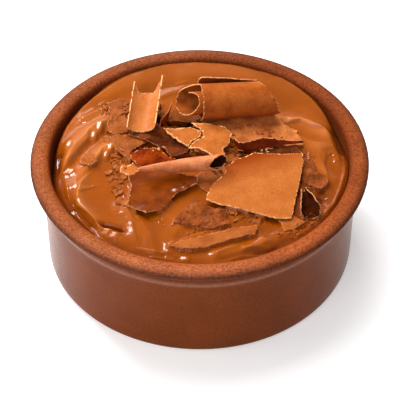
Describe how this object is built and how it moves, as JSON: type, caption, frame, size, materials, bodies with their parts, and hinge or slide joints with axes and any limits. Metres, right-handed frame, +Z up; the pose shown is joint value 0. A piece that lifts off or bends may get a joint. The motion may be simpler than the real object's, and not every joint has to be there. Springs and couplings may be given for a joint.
{
  "type": "chocolate pudding",
  "caption": "Round terracotta dessert dish with an overhanging rounded rim, filled with glossy caramel-brown chocolate pudding and topped with loose chocolate curls and flakes.",
  "frame": {"origin": "centre of the dish's flat base, on the surface it stands on", "axes": "+Z up out of the dish; the side that faces the viewer is -Y"},
  "size_m": [0.12, 0.12, 0.0569],
  "materials": {
    "terracotta": "fired clay, satin, with fine speckles",
    "pudding": "smooth and glossy, with the spoon's ridges",
    "milk_chocolate": "matte, lighter at the broken edges",
    "dark_chocolate": "matte, rough"
  },
  "bodies": {
    "root": {"dish": "terracotta", "pudding": "pudding", "flake_strip": "milk_chocolate", "flake_left_back": "milk_chocolate", "flake_left_mid": "milk_chocolate", "flake_tan": "milk_chocolate", "flake_under_pencil": "milk_chocolate", "flake_shell": "milk_chocolate", "flake_notched_left": "milk_chocolate", "flake_notched_right": "milk_chocolate", "flake_large": "milk_chocolate", "curl_trough": "milk_chocolate", "curl_scroll": "milk_chocolate", "flake_sunken": "dark_chocolate", "flake_corner": "dark_chocolate", "flake_left_rough": "dark_chocolate", "flake_bark": "dark_chocolate", "flake_under_ribbon": "dark_chocolate", "flake_right_fold": "dark_chocolate", "flake_dark_mid": "dark_chocolate", "flake_centre_rough": "dark_chocolate", "flake_pink": "dark_chocolate", "flake_rust": "dark_chocolate", "flake_ribbon": "dark_chocolate", "flake_shard": "dark_chocolate", "flake_crumb": "dark_chocolate", "curl_cone": "dark_chocolate", "curl_pencil": "dark_chocolate"}
  },
  "joints": []
}
